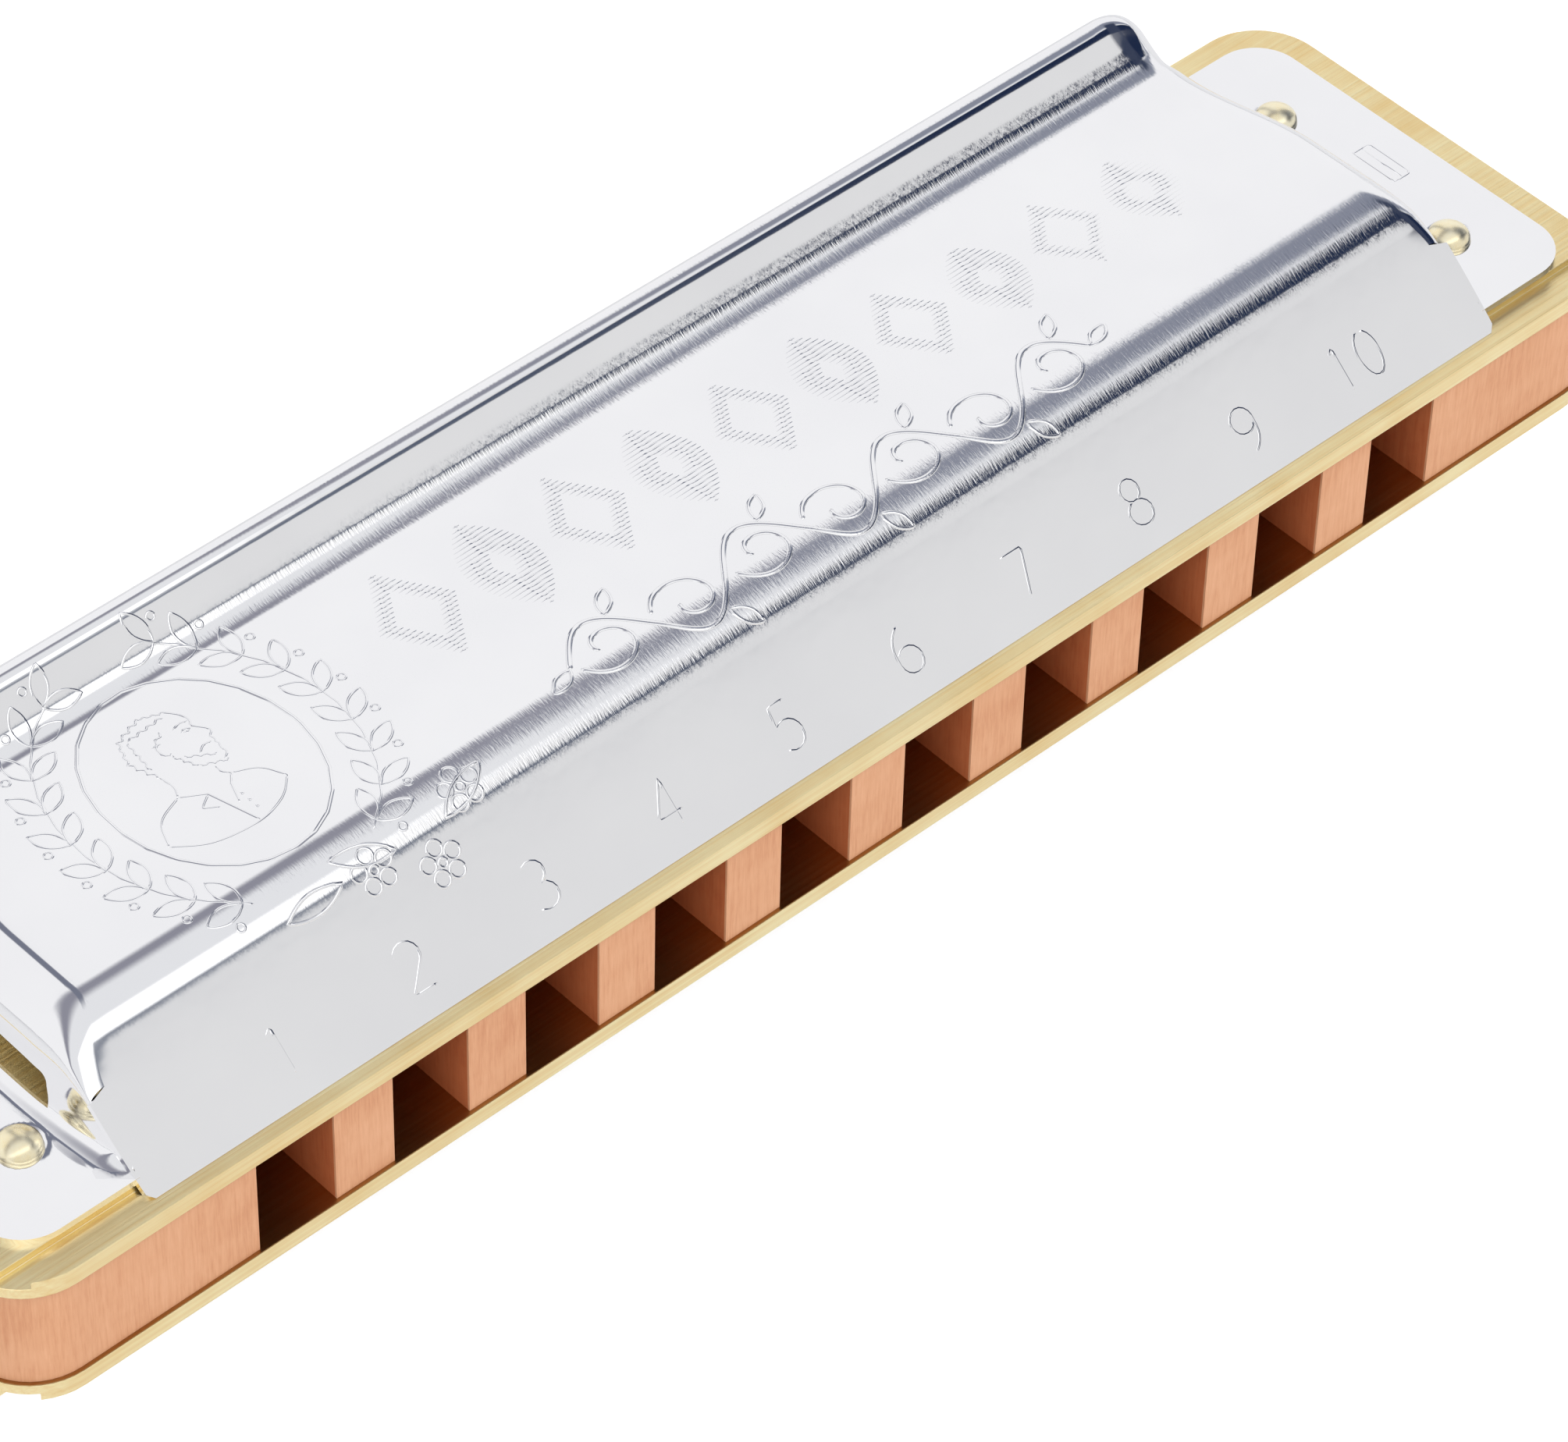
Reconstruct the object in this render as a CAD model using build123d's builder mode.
"""Ten-hole diatonic harmonica: wooden comb, two brass reed plates with twenty riveted reeds, two
pressed sheet covers and the nails that hold it together.

Frame, in millimetres: +X runs along the length from the lowest hole (1) to the highest hole (10),
-Y is the side that faces the player's mouth, +Z is up, and the origin is the centre of the comb.
The blow reeds hang inside the chambers under the upper plate, riveted at the back.
The draw reeds lie outside the chambers under the lower plate, riveted at the front.
"""

from build123d import *
import math
import os

os.makedirs("parts", exist_ok=True)

# ---------------------------------------------------------------- driving dimensions
holes = 10
hole_pitch = 7.5
hole_width = 4.25
length = 98.0
depth = 24.7
corner_radius = 3.5

comb_thickness = 5.6
comb_recess = 0.2  # the comb sits this far behind the plates' edges
plate_thickness = 1.0

# chambers, measured from the plates' front edge
chamber_length_low = 21.4
chamber_length_high = 16.0

# cover sheet and its cross-section
sheet = 0.35
slope_angle = 40.0
top_fall_angle = 1.0
ridge_angle = 40.0
front_foot_inset = 1.1  # outer face of the front slope, behind the plate's edge, at plate height
shoulder_y = -5.02  # where the slope's and the top's lines would meet
valley_y = 8.91  # where the top's and the ridge's lines would meet
shoulder_radius = 3.8
valley_radius = 2.1
bead_radius = 0.85
hem_drop = 1.5  # how far the bead's back comes down

# cover ends
end_half_length = 41.3  # half length of the raised part, at plate height
end_bow_radius = 130.0  # the end walls bow outwards in plan
end_bow_y = -3.0  # and stand out most here
end_draft = 8.0
end_round = 2.6
ridge_half_length = 38.6
ridge_round = 0.8
slit_gap = 0.3
slit_height = 3.2
slit_inner_x = 39.4
slit_outer_x = 41.3
vent_length = 10.2
vent_height = 1.9
vent_round = 0.8

# cover tabs
tab_outer_x = 47.3
tab_length = 7.2
tab_front_y = -10.5
tab_back_y = 10.85
tab_corner = 2.4

# groove in each plate that takes the cover's front edge
groove_front_y = -11.75
groove_back_y = -10.45
groove_depth = 0.4

# reeds
blow_length_low = 14.5
blow_length_high = 9.2
draw_length_low = 14.0
draw_length_high = 9.0
reed_width_low = 2.1
reed_width_high = 1.8
reed_thickness = 0.2
reed_lift = 0.05  # between the resting tongue and the plate's face
slot_side_gap = 0.05
slot_tip_gap = 0.1
root_gap = 0.02  # between the tongue and its pad
blow_tip_inset = 3.6
draw_root_inset = 5.6
pad_length = 2.6
pad_overhang = 0.45  # how much wider than the tongue the pad is, each side
pad_thickness = 0.45

# rivets and nails
fit_gap = 0.01
rivet_radius = 0.6
rivet_head_radius = 0.95
rivet_head_height = 0.35
rivet_foot_height = 0.12
cover_nail_x = 43.35
cover_nail_y = 5.8
cover_nail_radius = 0.55
cover_nail_head_radius = 1.05
cover_nail_head_height = 0.7
nail_reach = 2.3  # how deep a nail goes into the wood
plate_nail_radius = 0.45
plate_nail_head_radius = 0.85
plate_nail_head_height = 0.3
plate_nail_rear_y = 10.9
plate_nail_front_y = -6.6

# ---------------------------------------------------------------- derived places
plate_bottom = comb_thickness / 2
plate_top = plate_bottom + plate_thickness
front = -depth / 2
back = depth / 2
comb_front = front + comb_recess
foot_z = plate_top - groove_depth + 0.02
form_floor = 2.0  # the cover forms start below the plate and are cut off at its top

slope_tangent = math.tan(math.radians(slope_angle))
fall_tangent = math.tan(math.radians(top_fall_angle))
ridge_tangent = math.tan(math.radians(ridge_angle))
slope_foot_y = front + front_foot_inset
shoulder_z = plate_top - 0.3 + (shoulder_y - slope_foot_y) * slope_tangent
valley_z = shoulder_z - (valley_y - shoulder_y) * fall_tangent
ridge_corner_z = valley_z + (back - valley_y) * ridge_tangent
bead_top = ridge_corner_z + bead_radius - bead_radius * math.tan(math.radians(45 + ridge_angle / 2))
hem_z = bead_top - bead_radius - hem_drop

cover_nail_places = [(x, y) for x in (-cover_nail_x, cover_nail_x) for y in (-cover_nail_y, cover_nail_y)]
plate_nail_places = [(x, plate_nail_rear_y) for x in (-37.5, -15.0, 15.0, 37.5)]
plate_nail_places += [(x, plate_nail_front_y) for x in (-30.0, -7.5, 15.0, 30.0)]


def share(hole):
    """0 at the lowest hole, 1 at the highest."""
    return (hole - 1) / (holes - 1)


def graded(low, high, hole):
    """A size that changes evenly from the lowest hole to the highest."""
    return low + (high - low) * share(hole)


def hole_x(hole):
    return (hole - (holes + 1) / 2) * hole_pitch


class Reed:
    """Sizes and places of one reed, which lies just below its face of the plate.

    Blow reeds point to the front from under the upper plate, draw reeds to the back from under the lower one.
    """

    def __init__(self, hole, blow):
        self.x = hole_x(hole)
        self.width = graded(reed_width_low, reed_width_high, hole)
        if blow:
            self.length = graded(blow_length_low, blow_length_high, hole)
            self.root = front + blow_tip_inset + self.length
            self.along = -1
            self.face = plate_bottom
        else:
            self.length = graded(draw_length_low, draw_length_high, hole)
            self.root = front + draw_root_inset
            self.along = 1
            self.face = -plate_top
        self.tip = self.root + self.along * self.length
        self.pad_y = self.root - self.along * (root_gap + pad_length / 2)


blow_reeds = [Reed(hole, True) for hole in range(1, holes + 1)]
draw_reeds = [Reed(hole, False) for hole in range(1, holes + 1)]


def finish_part(part, name):
    """Labels the sub-part and writes it as its own STEP file."""
    part.label = name
    export_step(part, f"parts/{name}.step")


# ---------------------------------------------------------------- comb
with BuildPart() as comb:
    with BuildSketch(Plane.XY.offset(-comb_thickness / 2)):
        RectangleRounded(length - 2 * comb_recess, depth - 2 * comb_recess, corner_radius - comb_recess)
        for hole in range(1, holes + 1):
            chamber_end = front + graded(chamber_length_low, chamber_length_high, hole)
            with Locations((hole_x(hole), comb_front)):
                Rectangle(hole_width, 2 * (chamber_end - comb_front), mode=Mode.SUBTRACT)
    extrude(amount=comb_thickness)
    with Locations(Plane.XY.offset(plate_bottom), Plane.XY.offset(-plate_bottom).rotated((180, 0, 0))):
        with Locations(*cover_nail_places):
            Hole(cover_nail_radius + fit_gap, depth=nail_reach + fit_gap)
    with Locations(Plane.XY.offset(plate_bottom)):
        with Locations(*plate_nail_places):
            Hole(plate_nail_radius + fit_gap, depth=nail_reach + fit_gap)
    with Locations(Plane.XY.offset(-plate_bottom).rotated((180, 0, 0))):
        with Locations(*[(x, -y) for x, y in plate_nail_places]):
            Hole(plate_nail_radius + fit_gap, depth=nail_reach + fit_gap)
finish_part(comb.part, "comb")


# ---------------------------------------------------------------- reed plates
def reed_plate(reeds):
    """The upper plate with the slots and rivet holes of these reeds."""
    with BuildPart() as plate:
        with BuildSketch(Plane.XY.offset(plate_bottom)):
            RectangleRounded(length, depth, corner_radius)
            with Locations(*cover_nail_places):
                Circle(cover_nail_radius + fit_gap, mode=Mode.SUBTRACT)
            with Locations(*plate_nail_places):
                Circle(plate_nail_radius + fit_gap, mode=Mode.SUBTRACT)
            for reed in reeds:
                slot_length = reed.length + slot_tip_gap
                with Locations((reed.x, reed.root + reed.along * slot_length / 2)):
                    Rectangle(reed.width + 2 * slot_side_gap, slot_length, mode=Mode.SUBTRACT)
                with Locations((reed.x, reed.pad_y)):
                    Circle(rivet_radius + fit_gap, mode=Mode.SUBTRACT)
        extrude(amount=plate_thickness)
        with BuildSketch(Plane.XY.offset(plate_top)):
            with Locations((0, (groove_front_y + groove_back_y) / 2)):
                Rectangle(length, groove_back_y - groove_front_y)
        extrude(amount=-groove_depth, mode=Mode.SUBTRACT)
    return plate.part


upper_reed_plate = reed_plate(blow_reeds)
finish_part(upper_reed_plate, "upper_reed_plate")
lower_reed_plate = reed_plate(draw_reeds).mirror(Plane.XY)
finish_part(lower_reed_plate, "lower_reed_plate")


# ---------------------------------------------------------------- reeds: pads, rivets and tongues
def reed_pads(reeds):
    """The thick root of each reed, lying on the plate's face with a hole for its rivet."""
    with BuildPart() as pads:
        for reed in reeds:
            with BuildSketch(Plane.XY.offset(reed.face)):
                with Locations((reed.x, reed.pad_y)):
                    Rectangle(reed.width + 2 * pad_overhang, pad_length)
                    Circle(rivet_radius + fit_gap, mode=Mode.SUBTRACT)
            extrude(amount=-pad_thickness)
    return pads.part


def reed_rivets(reeds):
    """One rivet for each reed: a domed head on the pad and a clinched foot on the plate's far face."""
    head_face = reeds[0].face - pad_thickness
    foot_face = reeds[0].face + plate_thickness
    with BuildPart() as rivets:
        for reed in reeds:
            with BuildSketch(Plane((reed.x, reed.pad_y, 0), x_dir=(1, 0, 0), z_dir=(0, -1, 0))):
                with BuildLine():
                    Polyline(
                        (0, head_face - rivet_head_height),
                        (0, foot_face + rivet_foot_height),
                        (rivet_radius + 0.1, foot_face + rivet_foot_height),
                        (rivet_radius + 0.2, foot_face),
                        (rivet_radius, foot_face),
                        (rivet_radius, head_face),
                        (rivet_head_radius, head_face),
                    )
                    TangentArc(
                        (0, head_face - rivet_head_height), (rivet_head_radius, head_face), tangent=(1, 0)
                    )
                make_face()
            revolve(axis=Axis((reed.x, reed.pad_y, 0), (0, 0, 1)))
    return rivets.part


def reed_tongue(reed):
    """The thin free part of one reed, lying just off the plate's face over its slot."""
    with BuildPart() as tongue:
        with BuildSketch(Plane.XY.offset(reed.face - reed_lift)):
            with Locations((reed.x, (reed.root + reed.tip) / 2)):
                Rectangle(reed.width, reed.length)
        extrude(amount=-reed_thickness)
    return tongue.part


for family, reeds in (("blow", blow_reeds), ("draw", draw_reeds)):
    finish_part(reed_pads(reeds), f"{family}_reed_pads")
    finish_part(reed_rivets(reeds), f"{family}_reed_rivets")
    for hole, reed in enumerate(reeds, start=1):
        finish_part(reed_tongue(reed), f"{family}_reed_{hole}")


# ---------------------------------------------------------------- covers
def body_form(inset):
    """The raised body of the cover without its rear ridge, as a solid, inset all round."""
    with BuildPart() as form:
        with BuildSketch(Plane.YZ.offset(-length / 2)):
            with BuildLine():
                Polyline(
                    (shoulder_y - (shoulder_z - form_floor) / slope_tangent, form_floor),
                    (shoulder_y, shoulder_z),
                    (back, shoulder_z - (back - shoulder_y) * fall_tangent),
                    (back, form_floor),
                    close=True,
                )
            make_face()
            fillet(vertices().group_by(Axis.Y)[-1], shoulder_radius)
            if inset:
                offset(amount=-inset, mode=Mode.REPLACE)
        extrude(amount=length)
        with BuildSketch(Plane.XY.offset(form_floor - 1)):
            half = end_half_length - inset + (plate_top - form_floor + 1) * math.tan(math.radians(end_draft))
            front_drop = end_bow_radius - math.sqrt(end_bow_radius**2 - (depth + end_bow_y) ** 2)
            back_drop = end_bow_radius - math.sqrt(end_bow_radius**2 - (depth - end_bow_y) ** 2)
            with BuildLine():
                Line((-half + front_drop, -depth), (half - front_drop, -depth))
                ThreePointArc((half - front_drop, -depth), (half, end_bow_y), (half - back_drop, depth))
                Line((half - back_drop, depth), (-half + back_drop, depth))
                ThreePointArc((-half + back_drop, depth), (-half, end_bow_y), (-half + front_drop, -depth))
            make_face()
        extrude(amount=12, taper=end_draft, mode=Mode.INTERSECT)
        rims = form.edges().filter_by(lambda e: abs(e.center().X) > ridge_half_length - 1)
        rims = rims.filter_by(lambda e: e.center().Z > form_floor + 2 and e.center().Y < back - inset - 0.1)
        fillet(rims, end_round - inset)
    return form.part


def ridge_form(inset):
    """The raised bead along the back of the cover, as a solid, inset all round."""
    foot_y = valley_y - valley_radius * 0.6
    foot_z_on_top = valley_z + (valley_y - foot_y) * fall_tangent
    with BuildPart() as form:
        with BuildSketch(Plane.YZ.offset(-ridge_half_length + inset)):
            with BuildLine():
                Polyline(
                    (foot_y, form_floor),
                    (foot_y, foot_z_on_top),
                    (valley_y, valley_z),
                    (back, ridge_corner_z),
                    (back, form_floor),
                    close=True,
                )
            make_face()
            fillet(vertices().sort_by_distance((valley_y, valley_z))[0], valley_radius)
            fillet(vertices().sort_by_distance((back, ridge_corner_z))[0], bead_radius)
            if inset:
                offset(amount=-inset, mode=Mode.REPLACE)
        extrude(amount=2 * (ridge_half_length - inset))
        ends = form.edges().filter_by(lambda e: abs(e.center().X) > ridge_half_length - inset - 0.01)
        ends = ends.filter_by(lambda e: e.center().Z > valley_z + 0.3 and e.center().Y > valley_y)
        fillet(ends, ridge_round - inset)
    return form.part


def cover_shell():
    """The upper cover: a hollow body and ridge, open below and behind, with a nailing tab at each end."""
    tab_top = plate_top + sheet
    with BuildPart() as shell:
        add(body_form(0))
        add(ridge_form(0))
        with BuildSketch(Plane.XY.offset(plate_top)):
            for side in (-1, 1):
                with Locations((side * (tab_outer_x - tab_length / 2), (tab_front_y + tab_back_y) / 2)):
                    RectangleRounded(tab_length, tab_back_y - tab_front_y, tab_corner)
        extrude(amount=sheet)
        add(body_form(sheet), mode=Mode.SUBTRACT)
        add(ridge_form(sheet), mode=Mode.SUBTRACT)
        # only the front slope's foot reaches below the plate's face, into the groove
        with BuildSketch(Plane.XY.offset(foot_z)):
            Rectangle(2 * length, 3 * depth)
        extrude(amount=-depth, mode=Mode.SUBTRACT)
        with BuildSketch(Plane.XY.offset(plate_top)):
            with Locations((0, groove_back_y)):
                Rectangle(2 * length, 2 * depth, align=(Align.CENTER, Align.MIN))
        extrude(amount=-depth, mode=Mode.SUBTRACT)
        # open back, below the ridge's hem
        with BuildSketch(Plane.XZ.offset(-back - 1)):
            with Locations((0, (hem_z + plate_top) / 2)):
                Rectangle(2 * ridge_half_length, hem_z - plate_top)
        extrude(amount=4, mode=Mode.SUBTRACT)
        # a vent low in each end wall
        with BuildSketch(Plane.YZ.offset(-tab_outer_x)):
            with Locations((0, tab_top + vent_height / 2)):
                RectangleRounded(vent_length, vent_height, vent_round)
        extrude(amount=2 * tab_outer_x, mode=Mode.SUBTRACT)
        # a slit at each front corner parts the front slope from the end wall and tab
        for side in (-1, 1):
            with BuildSketch(Plane.YZ.offset(side * slit_outer_x)):
                with Locations(Location((slope_foot_y, plate_top - 0.3), slope_angle)):
                    with Locations((0, -sheet)):
                        Rectangle(slit_height * 2, slit_gap, align=(Align.CENTER, Align.MAX))
            extrude(amount=side * (slit_inner_x - slit_outer_x), mode=Mode.SUBTRACT)
        with BuildSketch(Plane.XY.offset(plate_top)):
            with Locations(*cover_nail_places):
                Circle(cover_nail_radius + fit_gap)
        extrude(amount=sheet, mode=Mode.SUBTRACT)
    return shell.part


upper_cover = cover_shell()
finish_part(upper_cover, "upper_cover")
lower_cover = upper_cover.mirror(Plane.XY)
finish_part(lower_cover, "lower_cover")


# ---------------------------------------------------------------- nails
def nails(places, seat_z, radius, head_radius, head_height):
    """Upright nails with domed heads on the height seat_z, reaching nail_reach into the wood."""
    with BuildPart() as group:
        for x, y in places:
            with BuildSketch(Plane((x, y, 0), x_dir=(1, 0, 0), z_dir=(0, -1, 0))):
                with BuildLine():
                    Polyline(
                        (0, seat_z + head_height),
                        (0, plate_bottom - nail_reach),
                        (radius, plate_bottom - nail_reach + radius),
                        (radius, seat_z),
                        (head_radius, seat_z),
                    )
                    TangentArc((0, seat_z + head_height), (head_radius, seat_z), tangent=(1, 0))
                make_face()
            revolve(axis=Axis((x, y, 0), (0, 0, 1)))
    return group.part


cover_nails = nails(
    cover_nail_places, plate_top + sheet, cover_nail_radius, cover_nail_head_radius, cover_nail_head_height
)
plate_nails = nails(
    plate_nail_places, plate_top, plate_nail_radius, plate_nail_head_radius, plate_nail_head_height
)
finish_part(cover_nails, "upper_cover_nails")
finish_part(cover_nails.mirror(Plane.XY), "lower_cover_nails")
finish_part(plate_nails, "upper_plate_nails")
finish_part(plate_nails.mirror(Plane.XY), "lower_plate_nails")
